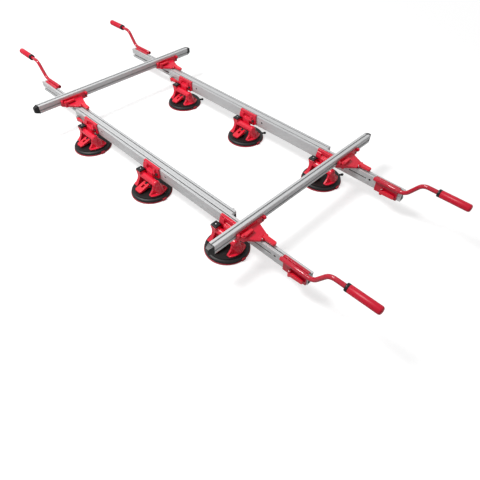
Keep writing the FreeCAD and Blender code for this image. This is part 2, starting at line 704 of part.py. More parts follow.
def build():
    nodes = {}
    halves = (("front", 0, "near", 1, near_bar), ("back", 180, "far", -1, far_bar))
    front_rail = group(rail(), lock_bolt())
    lock = moved(swing_lever(lock_lever), *lock_place(), side_middle)
    end_pieces = {
        "handle": handle(), "grip": grip(),
        "handle_lever": moved(swing_lever(handle_lever), *handle_lever_place()),
    }
    saddle_pieces = {
        "saddle": group(saddle(), rail_nut()),
        "bar_lever": moved(turned(swing_lever(bar_lever), Z, 90), *bar_lever_place()),
        "rail_lever": moved(turned(swing_lever(rail_lever), X, -90), *rail_lever_place()),
    }
    cup_pieces = {"pad": cup_pad(), "frame": cup_frame(), "bracket": cup_bracket(), "lever": flip_lever()}
    for side, parting in (("left", -rail_spacing / 2), ("right", rail_spacing / 2)):
        for row, angle, end, way, bar in halves:
            nodes[f"{side}_{row}_rail"] = moved(turned(front_rail, Z, angle), y=parting)
            nodes[f"{side}_{row}_lock_lever"] = moved(turned(lock, Z, angle), y=parting)
            for name, shape in end_pieces.items():
                drawn_out = way * handle_out[f"{end}_{side}"]
                nodes[f"{end}_{side}_{name}"] = moved(turned(shape, Z, angle), drawn_out, parting)
            for name, shape in saddle_pieces.items():
                nodes[f"{end}_{side}_{name}"] = moved(shape, bar, parting + way * rail_middle)
        for column, place in cup_columns.items():
            for name, shape in cup_pieces.items():
                nodes[f"{side}_{column}_cup_{name}"] = moved(shape, place, parting + cup_side)
    plug = bar_plug()
    bar_pieces = {"crossbar": crossbar(), "crossbar_plugs": group(plug, turned(plug, Z, 180))}
    for name, shape in bar_pieces.items():
        nodes[f"near_{name}"] = moved(shape, near_bar, near_bar_slide)
        nodes[f"far_{name}"] = moved(shape, far_bar)
    return {name: moved(shape, *frame_shift) for name, shape in nodes.items()}


os.makedirs("parts", exist_ok=True)
for name, shape in build().items():
    shape.exportStep(f"parts/{name}.step")
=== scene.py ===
import bmesh
import bpy
import json
import math
from mathutils import Matrix, Vector


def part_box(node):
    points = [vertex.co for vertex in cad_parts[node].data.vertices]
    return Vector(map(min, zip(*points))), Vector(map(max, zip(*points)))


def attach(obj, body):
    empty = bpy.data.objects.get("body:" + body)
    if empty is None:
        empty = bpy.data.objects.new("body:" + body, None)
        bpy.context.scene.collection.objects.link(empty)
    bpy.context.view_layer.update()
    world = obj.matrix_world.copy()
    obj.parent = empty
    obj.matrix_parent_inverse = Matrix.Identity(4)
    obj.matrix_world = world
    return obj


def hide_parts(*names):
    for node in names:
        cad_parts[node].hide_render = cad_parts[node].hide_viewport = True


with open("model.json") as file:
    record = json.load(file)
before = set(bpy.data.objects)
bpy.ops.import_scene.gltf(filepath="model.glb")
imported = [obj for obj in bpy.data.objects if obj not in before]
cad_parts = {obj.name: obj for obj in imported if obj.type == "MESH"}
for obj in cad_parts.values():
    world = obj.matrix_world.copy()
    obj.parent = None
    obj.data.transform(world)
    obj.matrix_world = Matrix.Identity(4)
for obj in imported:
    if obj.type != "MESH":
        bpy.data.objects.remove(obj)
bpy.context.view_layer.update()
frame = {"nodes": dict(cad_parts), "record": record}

NODES = frame["nodes"]
BODY = {node: body for body, nodes in frame["record"]["behaviour"]["bodies"].items() for node in nodes}
SIDES = ("left", "right")
ENDS = ("near", "far")
COLUMNS = ("far", "middle", "near")

# The photograph's view, in metres and degrees
CAMERA_PLACE = (1.4409, -1.1340, 1.2877)
VIEW_AZIMUTH = 45.0
VIEW_ELEVATION = 47.11
LENS_MM = 31.765
SENSOR_MM = 36.0

# Floor and light: each lamp's place, size and power
FLOOR_REACH = 30.0
FLOOR_HEIGHT = -0.0006
FLOOR_TONE = (0.60, 0.60, 0.60, 1.0)
FLOOR_GLOW = (0.62, 0.88)    # to the camera, under the object and far from it
FLOOR_FADE = (1.6, 6.0)      # distances at which that glow starts to rise and is full
FLOOR_MIRRORED = 0.10        # its glow in mirror-like surfaces
SKY_LIGHT = 0.28             # on the object
SKY_SEEN = 1.0               # to the camera and in mirror-like surfaces
LAMPS = (("over", (-1.1, -1.3, 3.2), 1.1, 114.0), ("side", (2.6, 0.8, 2.4), 1.6, 5.0))
LAMP_AIM = (0, 0, 0.1)

# Sizes of the dressing, in metres. Each EDGE is the width that a piece's edges are rounded by.
# The far end is at low x, and the front at low y.
MM = 0.001
WELD = 0.00001
FLAT_ANGLE = math.radians(0.5)    # faces that lie flatter than this become one
ROUNDED_ANGLE = math.radians(32)  # edges sharper than this are rounded
CAST_VOXEL = 0.0012
BRACKET_VOXEL = 0.0009
EXTRUSION_EDGE = 0.0004
PLATE_EDGE = 0.0010
LEVER_EDGE = 0.0014
FASTENER_EDGE = 0.0005
CAP_EDGE = 0.0012
TUBE_EDGE = 0.0006
NOSE_EDGE = 0.0024
GRIP_RADIUS = 0.0155
GRIP_NOSE = 0.009            # rounding of the grip's end
GRIP_SHOULDER = 0.0009       # and of its edge at the collar
COLLAR_LENGTH = 0.011
COLLAR_FRONT = 0.001         # roundings of the collar's edges
COLLAR_BACK = 0.0006
BAR_GROOVE_WIDTH = 0.007
BAR_GROOVE_DEPTH = 0.0036
BAR_GROOVE_HEIGHT = 0.017    # of the side grooves, above the underside
CHAMBER_IN = (0.003, 0.014)  # the rail's closed chamber, in from its outer face
CHAMBER_UP = (0.003, 0.038)  # and up from its underside
PIN_HEAD = (0.0042, 0.0013)  # radius and rise
CAP_SCREW = (0.0032, 0.0009)
CAP_SCREW_PLACE = (0.018, 0.042)  # in from the cup frame's far side and from its front
WALL_BOLT = (0.0058, 0.0026)
WALL_BOLT_PLACE = (0.0418, 0.0085, 0.0130)  # in from the saddle's far side and its back, up from its base
SADDLE_BASE = 0.1384         # height of the saddles' underside
EAR_REACH = 0.0053           # from a lever's side to the outside of its ear
LEVER_HUB = 0.0065           # from a lever's end to its pivot
BAR_LEVER_HUB = 0.0085
FLIP_PIVOT = 0.010           # in from the flip lever's back and its top

# Numbers of facets in rounded forms
BEND_STEPS = 14
EAR_STEPS = 16
NOSE_STEPS = 12
SMALL_TURN_STEPS = 32
HEAD_SEGMENTS = 20
HEAD_RINGS = 10

# Sizes of the handles, in millimetres: along the rail, in from the outer side, and height
TUBE_SIDE = 9.2
TUBE_HEIGHT = 138.3
TUBE_RADIUS = 9.0
TUBE_WALL = 2.0
TUBE_START = 121.0
TUBE_END = 380.5
TUBE_BEND = 46.0
TUBE_ANGLE = math.radians(55.0)
TUBE_SLOPE = 50.99
TUBE_OPEN = 40.0             # how far one sees into the open end
TUBE_MOUTH = (0.5, 0.6)      # roundings of that end, inside and outside
SHELL_LENGTH = 116.0
SHELL_FRONT_START = 9.0
# Sections: in from the outer side, and height
SHELL_TOP = ((10.0, 134.3), (22.45, 134.3), (22.45, 132.8), (24.35, 132.8), (24.35, 134.3), (35.5, 134.3),
             (35.5, 136.4), (34.8, 137.4), (33.0, 138.0), (30.4, 138.2), (29.2, 139.0), (28.2, 140.4),
             (26.4, 141.2), (24.0, 141.1), (22.4, 140.0), (21.3, 137.8), (20.2, 136.4), (18.6, 136.0),
             (17.0, 136.8), (15.0, 138.8), (10.0, 139.0))
SHELL_FRONT = ((14.2, 138.0), (14.2, 78.2), (35.5, 78.2), (35.5, 82.2), (24.35, 82.2), (24.35, 83.7),
               (22.45, 83.7), (22.45, 82.2), (18.2, 82.2), (18.2, 138.0))
EAR_PIVOT = (47.0, 6.5, 94.5)
EAR_RADIUS = 6.5
EAR_ROOT = 15.0
EAR_SPAN = (9.3, 14.3)

# Sizes of the cups' brackets and pads, in millimetres. Along the rail they run from the cup's middle.
# Sections are (in from the bracket's front, height) points.
BRACKET_MIDDLE = 56.0        # in from the bracket's far end
FLARE = ((-56.0, -31.0), (13.0, 26.0))
POCKET_LAP = 1.0             # of the pocket's rim into the flares beside it
FLARE_SECTION = ((14.5, 127.0), (11.0, 124.0), (7.2, 112.0), (5.2, 107.0), (5.2, 98.0), (14.5, 98.0))
RIM_SECTION = ((14.5, 105.9), (10.4, 105.9), (9.4, 109.6), (5.8, 109.2), (5.2, 107.0), (5.2, 98.0),
               (14.5, 98.0))
NOSE = ((-73.0, -40.0), (5.6, 12.4), (98.4, 108.6))  # of the far cups' ledges, beyond the plate
WEB = ((-56.0, -22.0), (8.5, 14.5), (64.0, 101.0))
BOSS = (20.0, 30.0, 9.5, 103.5)  # start, end, depth and height
BOSS_RADIUS = 6.2
BOSS_BORE = 0.55             # share of the radius
BOSS_BORE_DEPTH = 5.0
PAD_MIDDLE = 95.0            # in from the pad's far side and front; outlines are (radius, height) points
LIP_SECTION = ((72.5, 0.0), (94.0, 0.0), (95.0, 1.0), (95.0, 3.4), (94.4, 4.5), (93.2, 5.0), (72.5, 5.0))
RUBBER_OUTLINE = ((0.0, 5.0), (91.6, 5.0), (92.5, 5.9), (92.5, 11.6), (92.1, 13.6), (90.9, 15.4),
                  (89.0, 16.8), (86.8, 17.6), (85.6, 18.2), (84.6, 18.9), (83.4, 19.0), (0.0, 19.0))
TAB = ((92.8, -10.0, 0.2), (98.0, 10.0, 13.0))
STUB_ANGLE = math.radians(57.0)
STUB_HEIGHT = 11.5
STUB_START = 86.0
STUB_OUTLINE = ((0.0, 0.0), (5.0, 0.0), (5.0, 14.6), (5.6, 16.0), (6.3, 18.4), (6.5, 20.5), (6.3, 22.4),
                (5.6, 24.3), (4.3, 25.8), (2.4, 26.7), (0.0, 27.0))


# Shader groups

SCUFF_EDGE = 0.12            # how softly a scuff ends
CLOUD_SCALE = 0.3            # of the clouds, as a share of the scuffs' scale


def put(tree, kind, sockets=None, **settings):
    """A node with its settings, whose sockets take values or other nodes' outputs."""
    made = tree.nodes.new(kind)
    for name, value in settings.items():
        setattr(made, name, value)
    for name, value in (sockets or {}).items():
        if isinstance(value, bpy.types.NodeSocket):
            tree.links.new(value, made.inputs[name])
        else:
            made.inputs[name].default_value = value
    return made


def shader_group(name, inputs, outputs):
    """An empty shader group with its sockets, its input node and its output node."""
    tree = bpy.data.node_groups.new(name, "ShaderNodeTree")
    for label, kind, default in inputs:
        socket = tree.interface.new_socket(label, in_out="INPUT", socket_type=kind)
        socket.default_value = default
    for label, kind in outputs:
        tree.interface.new_socket(label, in_out="OUTPUT", socket_type=kind)
    return tree, put(tree, "NodeGroupInput"), put(tree, "NodeGroupOutput")


def drawn_lines_group():
    """Fine lines that an extrusion die leaves, stretched along one direction."""
    tree, into, out = shader_group(
        "drawn_lines",
        [("Vector", "NodeSocketVector", (0, 0, 0)), ("Stretch", "NodeSocketVector", (1, 1, 1))],
        [("Lines", "NodeSocketFloat"), ("Bands", "NodeSocketFloat")])
    stretched = put(tree, "ShaderNodeVectorMath", {0: into.outputs["Vector"], 1: into.outputs["Stretch"]},
                    operation="MULTIPLY").outputs[0]
    lines = put(tree, "ShaderNodeTexNoise",
                {"Vector": stretched, "Scale": 1.0, "Detail": 4.0, "Roughness": 0.65})
    bands = put(tree, "ShaderNodeTexNoise", {"Vector": stretched, "Scale": 0.09, "Detail": 1.0})
    tree.links.new(lines.outputs[0], out.inputs["Lines"])
    tree.links.new(bands.outputs[0], out.inputs["Bands"])
    return tree


def scuffs_group():
    """Patches where a surface was handled: a mask that is 0 almost everywhere."""
    tree, into, out = shader_group(
        "scuffs",
        [("Vector", "NodeSocketVector", (0, 0, 0)), ("Scale", "NodeSocketFloat", 60.0),
         ("Cover", "NodeSocketFloat", 0.62)],
        [("Mask", "NodeSocketFloat"), ("Cloud", "NodeSocketFloat")])
    patches = put(tree, "ShaderNodeTexNoise",
                  {"Vector": into.outputs["Vector"], "Scale": into.outputs["Scale"], "Detail": 6.0,
                   "Roughness": 0.7})
    edge = put(tree, "ShaderNodeMath", {0: into.outputs["Cover"], 1: SCUFF_EDGE}, operation="ADD").outputs[0]
    mask = put(tree, "ShaderNodeMapRange", {"Value": patches.outputs[0], "From Min": into.outputs["Cover"],
                                            "From Max": edge})
    broad = put(tree, "ShaderNodeMath", {0: into.outputs["Scale"], 1: CLOUD_SCALE},
                operation="MULTIPLY").outputs[0]
    cloud = put(tree, "ShaderNodeTexNoise", {"Vector": into.outputs["Vector"], "Scale": broad, "Detail": 2.0})
    tree.links.new(mask.outputs[0], out.inputs["Mask"])
    tree.links.new(cloud.outputs[0], out.inputs["Cloud"])
    return tree


def skin_group():
    """Small relief of paint, moulded plastic or rubber, as a height."""
    tree, into, out = shader_group(
        "skin",
        [("Vector", "NodeSocketVector", (0, 0, 0)), ("Scale", "NodeSocketFloat", 800.0)],
        [("Height", "NodeSocketFloat")])
    relief = put(tree, "ShaderNodeTexNoise",
                 {"Vector": into.outputs["Vector"], "Scale": into.outputs["Scale"], "Detail": 2.0,
                  "Roughness": 0.5})
    tree.links.new(relief.outputs[0], out.inputs["Height"])
    return tree


DRAWN_LINES = drawn_lines_group()
SCUFFS = scuffs_group()
SKIN = skin_group()


# Materials


def blank_material(name):
    """A material with its tree, its Principled shader and Object coordinates."""
    material = bpy.data.materials.new(name)
    material.use_nodes = True
    tree = material.node_tree
    shader = tree.nodes["Principled BSDF"]
    place = put(tree, "ShaderNodeTexCoord").outputs["Object"]
    return material, tree, shader, place


def between(tree, share, low, high):
    """A value that runs from low to high with a share of 0 to 1."""
    return put(tree, "ShaderNodeMapRange", {"Value": share, "To Min": low, "To Max": high}).outputs[0]


def mixed(tree, share, first, second):
    """A colour between two colours."""
    mix = put(tree, "ShaderNodeMix", data_type="RGBA")
    tree.links.new(share, mix.inputs[0])
    for index, colour in ((6, first), (7, second)):
        if isinstance(colour, bpy.types.NodeSocket):
            tree.links.new(colour, mix.inputs[index])
        else:
            mix.inputs[index].default_value = (*colour, 1.0)
    return mix.outputs[2]


ALUMINIUM_TONES = ((0.52, 0.525, 0.53), (0.66, 0.665, 0.67), (0.46, 0.46, 0.47))  # dark, light and worn
ALONG_RAIL = (1.5, 900.0, 900.0)  # how die lines are stretched
ALONG_BAR = (900.0, 1.5, 900.0)
CLOUD_DEPTH = 0.86           # the darkest clouds' share of a coat's colour
SCUFF_SHOW = 0.35            # how much of a scuff's pale colour shows
SCUFF_ROUGHENS = 0.18


def extruded_aluminium(name, stretch, painted_shade_factor=1.0):
    """Satin aluminium with die lines along the profile, darkened by a factor below 1 as painted shade for
    grooves and chambers.
    """
    material, tree, shader, place = blank_material(name)
    drawn = put(tree, "ShaderNodeGroup", node_tree=DRAWN_LINES)
    tree.links.new(place, drawn.inputs["Vector"])
    drawn.inputs["Stretch"].default_value = stretch
    scuffs = put(tree, "ShaderNodeGroup", node_tree=SCUFFS)
    tree.links.new(place, scuffs.inputs["Vector"])
    scuffs.inputs["Scale"].default_value = 24.0
    # Painted shade: a factor below 1 darkens all three tones, for faces that lie in grooves and chambers
    dark, light, worn = (tuple(painted_shade_factor * part for part in tone) for tone in ALUMINIUM_TONES)
    colour = mixed(tree, drawn.outputs["Lines"], dark, light)
    colour = mixed(tree, between(tree, scuffs.outputs["Mask"], 0.0, 0.25), colour, worn)
    tree.links.new(colour, shader.inputs["Base Color"])
    tree.links.new(between(tree, drawn.outputs["Bands"], 0.42, 0.56), shader.inputs["Roughness"])
    shader.inputs["Metallic"].default_value = 0.4
    bump = put(tree, "ShaderNodeBump",
               {"Height": drawn.outputs["Lines"], "Strength": 0.25, "Distance": 0.0001})
    tree.links.new(bump.outputs[0], shader.inputs["Normal"])
    return material


def coated(name, colour, pale, roughness, scuff_scale=45.0, skin_scale=700.0, relief=0.15, gloss=0.5):
    """A coloured surface with slight clouds, scuffs and relief: paint, moulded plastic or rubber."""
    material, tree, shader, place = blank_material(name)
    scuffs = put(tree, "ShaderNodeGroup", node_tree=SCUFFS)
    tree.links.new(place, scuffs.inputs["Vector"])
    scuffs.inputs["Scale"].default_value = scuff_scale
    deep = tuple(CLOUD_DEPTH * part for part in colour)
    clouded = mixed(tree, scuffs.outputs["Cloud"], deep, colour)
    worn = mixed(tree, between(tree, scuffs.outputs["Mask"], 0.0, SCUFF_SHOW), clouded, pale)
    tree.links.new(worn, shader.inputs["Base Color"])
    rough = between(tree, scuffs.outputs["Mask"], roughness, roughness + SCUFF_ROUGHENS)
    tree.links.new(rough, shader.inputs["Roughness"])
    shader.inputs["Specular IOR Level"].default_value = gloss
    skin = put(tree, "ShaderNodeGroup", node_tree=SKIN)
    tree.links.new(place, skin.inputs["Vector"])
    skin.inputs["Scale"].default_value = skin_scale
    bump = put(tree, "ShaderNodeBump",
               {"Height": skin.outputs["Height"], "Strength": relief, "Distance": 0.0002})
    tree.links.new(bump.outputs[0], shader.inputs["Normal"])
    return material


def zinc_steel():
    """Zinc-plated steel of bolts, pins and nuts."""
    material, tree, shader, place = blank_material("zinc_steel")
    scuffs = put(tree, "ShaderNodeGroup", node_tree=SCUFFS)
    tree.links.new(place, scuffs.inputs["Vector"])
    scuffs.inputs["Scale"].default_value = 160.0
    colour = mixed(tree, scuffs.outputs["Cloud"], (0.42, 0.42, 0.43), (0.60, 0.60, 0.59))
    tree.links.new(colour, shader.inputs["Base Color"])
    tree.links.new(between(tree, scuffs.outputs["Mask"], 0.28, 0.45), shader.inputs["Roughness"])
    shader.inputs["Metallic"].default_value = 0.95
    return material


RAIL_ALUMINIUM = extruded_aluminium("rail_aluminium", ALONG_RAIL)
BAR_ALUMINIUM = extruded_aluminium("bar_aluminium", ALONG_BAR)
# Painted shade: the crossbar's groove faces are darkened to stand for the shade that falls in them
BAR_GROOVE_PAINTED_SHADE = extruded_aluminium("bar_groove_painted_shade", ALONG_BAR, painted_shade_factor=0.72)
# Painted shade: the rail's chamber and hole faces are darkened deeply to stand for the shade inside them
RAIL_CHAMBER_PAINTED_SHADE = extruded_aluminium("rail_chamber_painted_shade", ALONG_RAIL, painted_shade_factor=0.10)
RED_CASTING = coated("red_casting", (0.80, 0.010, 0.040), (0.88, 0.12, 0.15), 0.26, gloss=0.38)
RED_CUP_SHELL = coated("red_cup_shell", (0.85, 0.014, 0.046), (0.90, 0.13, 0.16), 0.22, gloss=0.42)
RED_LEVER = coated("red_lever", (0.90, 0.018, 0.044), (0.92, 0.15, 0.17), 0.24, skin_scale=1200.0, gloss=0.42)
RED_TUBE = coated("red_tube", (0.62, 0.004, 0.030), (0.76, 0.09, 0.12), 0.16, gloss=0.5)
RED_GRIP = coated("red_grip", (0.68, 0.007, 0.034), (0.76, 0.08, 0.10), 0.34, skin_scale=1600.0, relief=0.3,
                  gloss=0.28)
RED_LIP = coated("red_lip_rubber", (0.46, 0.010, 0.030), (0.58, 0.09, 0.10), 0.5, skin_scale=1400.0,
                 relief=0.25)
BLACK_RUBBER = coated("black_pad_rubber", (0.011, 0.010, 0.011), (0.05, 0.05, 0.05), 0.45, relief=0.3,
                      gloss=0.28)
BLACK_PLATE = coated("black_back_plate", (0.010, 0.010, 0.010), (0.05, 0.05, 0.05), 0.40, gloss=0.2)
BLACK_PLASTIC = coated("black_moulding", (0.010, 0.010, 0.011), (0.05, 0.05, 0.05), 0.30, skin_scale=1500.0,
                       gloss=0.25)
BLACK_STEEL = coated("black_oxide_steel", (0.02, 0.02, 0.022), (0.12, 0.12, 0.12), 0.36, scuff_scale=160.0)
ZINC_STEEL = zinc_steel()


# Meshes


def islands(work):
    """Groups of vertices that hang together."""
    left = set(work.verts)
    while left:
        stack = [left.pop()]
        group = set(stack)
        while stack:
            for edge in stack.pop().link_edges:
                for vertex in edge.verts:
                    if vertex in left:
                        left.discard(vertex)
                        group.add(vertex)
                        stack.append(vertex)
        yield group


def solids(node):
    """The node's solids as welded meshes with flat faces made whole, the lowest first."""
    work = bmesh.new()
    work.from_mesh(NODES[node].data)
    bmesh.ops.remove_doubles(work, verts=work.verts, dist=WELD)
    for number, group in enumerate(islands(work)):
        for vertex in group:
            vertex.index = number
    count = number + 1
    owner = [vertex.index for vertex in work.verts]
    found = []
    for number in range(count):
        part = work.copy()
        others = [vertex for vertex, own in zip(part.verts, owner) if own != number]
        bmesh.ops.delete(part, geom=others, context="VERTS")
        bmesh.ops.dissolve_limit(part, angle_limit=FLAT_ANGLE, verts=part.verts, edges=part.edges)
        mesh = bpy.data.meshes.new(f"{node}_solid")
        part.to_mesh(mesh)
        part.free()
        found.append(mesh)
    work.free()
    return sorted(found, key=lambda mesh: min(vertex.co.z for vertex in mesh.vertices))


def link(name, mesh):
    piece = bpy.data.objects.new(name, mesh)
    bpy.context.scene.collection.objects.link(piece)
    return piece


def evaluated(piece):
    """The piece's mesh with its modifiers applied. The piece itself goes."""
    graph = bpy.context.evaluated_depsgraph_get()
    mesh = bpy.data.meshes.new_from_object(piece.evaluated_get(graph))
    bpy.data.objects.remove(piece)
    return mesh


def cast(mesh, voxel=CAST_VOXEL, rounds=5, keep=0.5):
    """A casting's rounded form: every edge softened, every inner corner filled a little."""
    piece = link("casting_work", mesh)
    remesh = piece.modifiers.new("skin", "REMESH")
    remesh.mode = "VOXEL"
    remesh.voxel_size = voxel
    smooth = piece.modifiers.new("soften", "SMOOTH")
    smooth.factor = 0.5
    smooth.iterations = rounds
    thin = piece.modifiers.new("thin", "DECIMATE")
    thin.ratio = keep
    return evaluated(piece)


def lathe(profile, centre, axis=(0, 0, 1), closed=False, steps=96):
    """A turned form. The profile is (radius, height) points; a closed one is a ring's section."""
    work = bmesh.new()
    turn = Vector((0, 0, 1)).rotation_difference(Vector(axis)).to_matrix().to_4x4()
    place = Matrix.Translation(centre) @ turn
    angles = [2 * math.pi * k / steps for k in range(steps)]
    rings = []
    for radius, height in profile:
        if radius == 0:
            rings.append([work.verts.new(place @ Vector((0, 0, height)))] * steps)
        else:
            rings.append([work.verts.new(place @ Vector((radius * math.cos(a), radius * math.sin(a), height)))
                          for a in angles])
    pairs = list(zip(rings, rings[1:]))
    if closed:
        pairs.append((rings[-1], rings[0]))
    for low, high in pairs:
        for k in range(steps):
            corners = (low[k], low[(k + 1) % steps], high[(k + 1) % steps], high[k])
            work.faces.new(list(dict.fromkeys(corners)))
    bmesh.ops.recalc_face_normals(work, faces=work.faces)
    mesh = bpy.data.meshes.new("turned")
    work.to_mesh(mesh)
    work.free()
    return mesh


def sweep(stations, steps=36):
    """A closed round form along a path in a plane of constant y: each station's centre, way and radius."""
    work = bmesh.new()
    side = Vector((0, 1, 0))
    rings = []
    for centre, way, radius in stations:
        up = way.cross(side)
        turns = [2 * math.pi * k / steps for k in range(steps)]
        rings.append([work.verts.new(centre + radius * (math.cos(t) * side + math.sin(t) * up))
                      for t in turns])
    for low, high in zip(rings, rings[1:]):
        for k in range(steps):
            work.faces.new((low[k], low[(k + 1) % steps], high[(k + 1) % steps], high[k]))
    work.faces.new(rings[0])
    work.faces.new(rings[-1])
    bmesh.ops.recalc_face_normals(work, faces=work.faces)
    mesh = bpy.data.meshes.new("swept")
    work.to_mesh(mesh)
    work.free()
    return mesh


def prism(outline, along):
    """A flat outline drawn out in one direction."""
    work = bmesh.new()
    ends = [[work.verts.new(point + shift) for point in outline] for shift in (Vector(), along)]
    for face in ends:
        work.faces.new(face)
    count = len(outline)
    for k in range(count):
        work.faces.new((ends[0][k], ends[0][(k + 1) % count], ends[1][(k + 1) % count], ends[1][k]))
    bmesh.ops.recalc_face_normals(work, faces=work.faces)
    mesh = bpy.data.meshes.new("prism")
    work.to_mesh(mesh)
    work.free()
    return mesh


def joined(*meshes):
    """Several meshes as one."""
    work = bmesh.new()
    for mesh in meshes:
        work.from_mesh(mesh)
    whole = bpy.data.meshes.new("joined")
    work.to_mesh(whole)
    work.free()
    return whole


def scaled(outline):
    """An outline in metres, from millimetres."""
    return [(radius * MM, height * MM) for radius, height in outline]


def block(low, high):
    """A block between two corners, whose edges are rounded later."""
    outline = [Vector((x, y, low[2])) for x, y in ((low[0], low[1]), (high[0], low[1]), (high[0], high[1]),
                                                   (low[0], high[1]))]
    return prism(outline, Vector((0, 0, high[2] - low[2])))


# Pieces


def shade(piece, edge):
    """Smooth shading, with edges rounded by a width, or left as they are for a width of 0."""
    piece.data.polygons.foreach_set("use_smooth", [True] * len(piece.data.polygons))
    if edge:
        bevel = piece.modifiers.new("edges", "BEVEL")
        bevel.width = edge
        bevel.segments = 2
        bevel.limit_method = "ANGLE"
        bevel.angle_limit = ROUNDED_ANGLE
        bevel.use_clamp_overlap = True
        normals = piece.modifiers.new("flats", "WEIGHTED_NORMAL")
        normals.keep_sharp = True


def wear(node, label, mesh, material, edge):
    """A finished piece that stands for a node and rides on its body."""
    piece = link(f"{node}.{label}", mesh)
    if not mesh.materials:
        mesh.materials.append(material)
    shade(piece, edge)
    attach(piece, BODY[node])
    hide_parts(node)


def dress(nodes, make):
    """Pieces for nodes of one shape: made at the first node, and copied to the others."""
    first = nodes[0]
    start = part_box(first)[0]
    made = make(first)
    for node in nodes:
        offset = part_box(node)[0] - start
        for label, mesh, material, edge in made:
            copy = mesh.copy()
            copy.transform(Matrix.Translation(offset))
            wear(node, label, copy, material, edge)


def rail_pieces(node):
    """The rail's extrusion, with deep painted shade on the faces of its chamber and holes, and its lock bolt.
    """
    rail, bolt = solids(node)
    rail.materials.append(RAIL_ALUMINIUM)
    rail.materials.append(RAIL_CHAMBER_PAINTED_SHADE)
    edges = [vertex.co.y for vertex in rail.vertices]
    base = min(vertex.co.z for vertex in rail.vertices)
    outer, inward = (min(edges), 1) if "front" in node else (max(edges), -1)
    for face in rail.polygons:
        points = [rail.vertices[index].co for index in face.vertices]
        depths = [inward * (p.y - outer) for p in points]
        inside = (max(depths) > CHAMBER_IN[0] - WELD and max(depths) < CHAMBER_IN[1] + WELD
                  and all(CHAMBER_UP[0] - WELD < p.z - base < CHAMBER_UP[1] + WELD for p in points))
        face.material_index = 1 if inside else 0
    return [("extrusion", rail, RAIL_ALUMINIUM, EXTRUSION_EDGE),
            ("lock_bolt", bolt, ZINC_STEEL, FASTENER_EDGE)]


def bar_pieces(node):
    """The crossbar's extrusion, with painted shade on the faces of its three grooves."""
    mesh = solids(node)[0]
    mesh.materials.append(BAR_ALUMINIUM)
    mesh.materials.append(BAR_GROOVE_PAINTED_SHADE)
    low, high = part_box(node)
    middle, half = (low.x + high.x) / 2, BAR_GROOVE_WIDTH / 2 + WELD
    side = low.z + BAR_GROOVE_HEIGHT
    depth = BAR_GROOVE_DEPTH + WELD
    for face in mesh.polygons:
        points = [mesh.vertices[index].co for index in face.vertices]
        in_top = all(abs(p.x - middle) < half and p.z > high.z - depth for p in points)
        in_side = all(abs(p.z - side) < half and min(p.x - low.x, high.x - p.x) < depth for p in points)
        face.material_index = 1 if in_top or in_side else 0
    return [("extrusion", mesh, BAR_ALUMINIUM, EXTRUSION_EDGE)]


def plug_pieces(node):
    return [(f"plug_{number}", mesh, BLACK_PLASTIC, CAP_EDGE) for number, mesh in enumerate(solids(node))]


def saddle_pieces(node):
    nut, casting = solids(node)
    return [("casting", cast(casting), RED_CASTING, 0), ("foot_nut", nut, ZINC_STEEL, FASTENER_EDGE)]


def lever_pieces(node):
    return [("lever", solids(node)[0], RED_LEVER, LEVER_EDGE)]


def tube_stations(place, out):
    """The tube's path: straight on the shell, an S-bend, and straight into the grip."""
    rise, run = math.sin(TUBE_ANGLE), math.cos(TUBE_ANGLE)
    arc = [TUBE_ANGLE * k / BEND_STEPS for k in range(BEND_STEPS + 1)]
    first = [(TUBE_START + TUBE_BEND * math.sin(a), TUBE_HEIGHT + TUBE_BEND * (1 - math.cos(a)), a)
             for a in arc]
    along, height = first[-1][:2]
    centre = (along + TUBE_SLOPE * run + TUBE_BEND * rise, height + TUBE_SLOPE * rise - TUBE_BEND * run)
    second = [(centre[0] - TUBE_BEND * math.sin(a), centre[1] + TUBE_BEND * math.cos(a), a)
              for a in reversed(arc)]
    bore = TUBE_RADIUS - TUBE_WALL
    inside, outside = TUBE_MOUTH
    mouth = [(TUBE_OPEN, bore), (inside, bore), (0.0, bore + inside), (0.0, TUBE_RADIUS - outside),
             (outside, TUBE_RADIUS)]
    stations = [(u, TUBE_HEIGHT, 0.0, radius) for u, radius in mouth]
    stations += [(u, z, a, TUBE_RADIUS) for u, z, a in first + second]
    stations.append((TUBE_END, second[-1][1], 0.0, TUBE_RADIUS))
    return [(place(u, TUBE_SIDE, z), Vector((out * math.cos(a), 0, math.sin(a))), radius * MM)
            for u, z, a, radius in stations]


def handle_pieces(node):
    """The bent tube, and the clamp shell that it lies on, with the ears of its lever."""
    low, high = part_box(node)
    out = 1 if low.x > 0 else -1
    inner, edge = (low.x, low.y) if out > 0 else (high.x, high.y)

    def place(u, w, z):
        return Vector((inner + out * u * MM, edge + out * w * MM, z * MM))

    def along(length):
        return Vector((out * length * MM, 0, 0))

    top = prism([place(0, w, z) for w, z in SHELL_TOP], along(SHELL_LENGTH))
    front = prism([place(SHELL_FRONT_START, w, z) for w, z in SHELL_FRONT],
                  along(SHELL_LENGTH - SHELL_FRONT_START))
    u, w, z = EAR_PIVOT
    turns = [math.pi * k / EAR_STEPS for k in range(EAR_STEPS + 1)]
    nose = [(u + EAR_RADIUS * math.cos(a), w - EAR_RADIUS * math.sin(a)) for a in turns]
    outline = [(u + EAR_RADIUS, EAR_ROOT)] + nose + [(u - EAR_RADIUS, EAR_ROOT)]
    thick = Vector((0, 0, (EAR_SPAN[1] - EAR_SPAN[0]) * MM))
    ears = [prism([place(a, b, base) for a, b in outline], thick)
            for base in (z + EAR_SPAN[0], z - EAR_SPAN[1])]
    return [("tube", sweep(tube_stations(place, out)), RED_TUBE, 0),
            ("shell_top", top, RED_TUBE, TUBE_EDGE),
            ("shell_front", joined(front, *ears), RED_TUBE, TUBE_EDGE)]


def frame_pieces(node):
    casting, cap = solids(node)
    return [("casting", cast(casting), RED_CUP_SHELL, 0), ("cap", cap, BLACK_PLASTIC, CAP_EDGE)]


